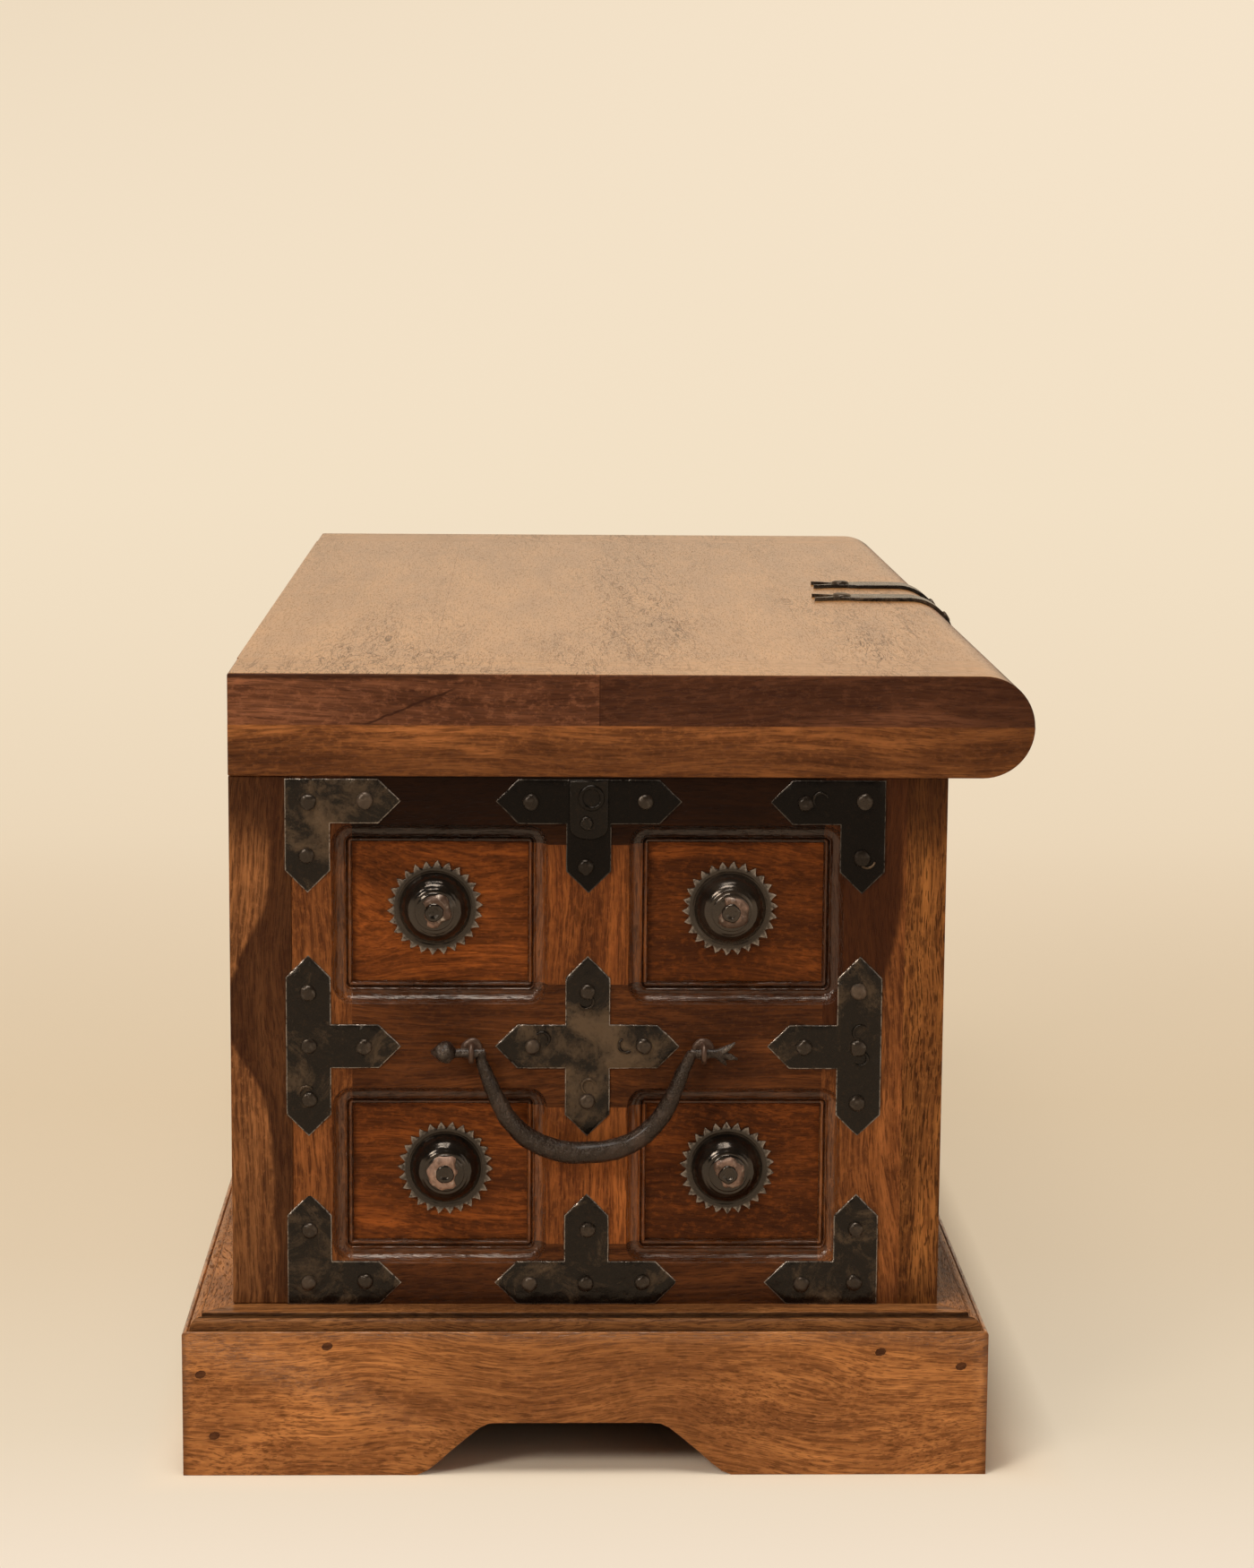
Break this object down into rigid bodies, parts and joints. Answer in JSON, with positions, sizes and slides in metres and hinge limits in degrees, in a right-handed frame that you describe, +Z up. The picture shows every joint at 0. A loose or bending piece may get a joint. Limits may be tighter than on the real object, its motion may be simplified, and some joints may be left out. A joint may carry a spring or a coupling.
{
  "type": "iron-bound storage trunk",
  "caption": "Long wooden trunk with an overhanging bullnosed lift lid, sunk panels bound with black iron plates, toothed bosses, end bail handles and a bracket plinth.",
  "frame": {"origin": "on the floor, under the middle of the whole trunk", "axes": "+X along the length, -Y towards the hasp side (front), +Z up"},
  "size_m": [0.9684, 0.4844, 0.4643],
  "materials": {
    "frame_wood": "oiled and waxed, satin",
    "panel_wood": "oiled and waxed, satin",
    "lid_wood": "waxed, worn, fine crackle",
    "lid_lip_wood": "waxed, satin",
    "plinth_wood": "waxed, satin",
    "peg_wood": "dark end grain",
    "inside_wood": "bare, planed",
    "plate_iron": "black, hammered, rubbed on the edges",
    "boss_iron": "black, glossy",
    "nail_iron": "black, dull",
    "forged_bar": "black, forged, rubbed",
    "steel_pin": "dull steel"
  },
  "bodies": {
    "case": {"back_bottom_rail": "frame_wood", "back_muntins": "frame_wood", "back_panels": "panel_wood", "back_posts": "frame_wood", "back_top_rail": "frame_wood", "end_bosses": "boss_iron", "end_cross_plates": "plate_iron", "floor_battens": "inside_wood", "floor_boards": "inside_wood", "front_bosses": "boss_iron", "front_bottom_rail": "frame_wood", "front_corner_plates": "plate_iron", "front_cross_plates": "plate_iron", "front_middle_rail": "frame_wood", "front_muntins": "frame_wood", "front_panels": "panel_wood", "front_stiles": "frame_wood", "front_tee_plates": "plate_iron", "front_top_rail": "frame_wood", "handle_eyes": "forged_bar", "hasp_staple": "forged_bar", "hinge_case_leaves": "plate_iron", "hinge_pins": "steel_pin", "left_bottom_rail": "frame_wood", "left_corner_plates": "plate_iron", "left_middle_rail": "frame_wood", "left_muntins": "frame_wood", "left_panels": "panel_wood", "left_stiles": "frame_wood", "left_tee_plates": "plate_iron", "left_top_rail": "frame_wood", "plate_nails": "nail_iron", "plinth_back": "plinth_wood", "plinth_corner_blocks": "inside_wood", "plinth_front": "plinth_wood", "plinth_left": "plinth_wood", "plinth_pegs": "peg_wood", "plinth_right": "plinth_wood", "right_bottom_rail": "frame_wood", "right_corner_plates": "plate_iron", "right_middle_rail": "frame_wood", "right_muntins": "frame_wood", "right_panels": "panel_wood", "right_stiles": "frame_wood", "right_tee_plates": "plate_iron", "right_top_rail": "frame_wood", "staple_plate": "plate_iron"},
    "lid": {"lid_boards": "lid_wood", "lid_left_cap": "lid_wood", "lid_right_cap": "lid_wood", "lid_front_lipping": "lid_lip_wood", "lid_back_lipping": "lid_lip_wood", "lid_end_lippings": "lid_lip_wood", "hinge_lid_leaves": "plate_iron", "hasp_straps": "plate_iron", "hasp_pin": "steel_pin", "lid_nails": "nail_iron"},
    "hasp": {"hasp_plate": "plate_iron"},
    "left_bail": {"left_handle": "forged_bar"},
    "right_bail": {"right_handle": "forged_bar"}
  },
  "joints": [
    {"name": "lid_hinge", "type": "hinge", "parent": "case", "child": "lid", "pos_m": [0, 0.2205, 0.4012], "axis": [-1, 0, 0], "range_deg": [0, 100]},
    {"name": "hasp_hinge", "type": "hinge", "parent": "lid", "child": "hasp", "pos_m": [0, -0.2106, 0.3957], "axis": [-1, 0, 0], "range_deg": [-5.5, 85]},
    {"name": "left_bail_swing", "type": "hinge", "parent": "case", "child": "left_bail", "pos_m": [-0.4682, 0.012, 0.244], "axis": [0, 1, 0], "range_deg": [0, 180]},
    {"name": "right_bail_swing", "type": "hinge", "parent": "case", "child": "right_bail", "pos_m": [0.4682, 0.012, 0.244], "axis": [0, -1, 0], "range_deg": [0, 180]}
  ]
}
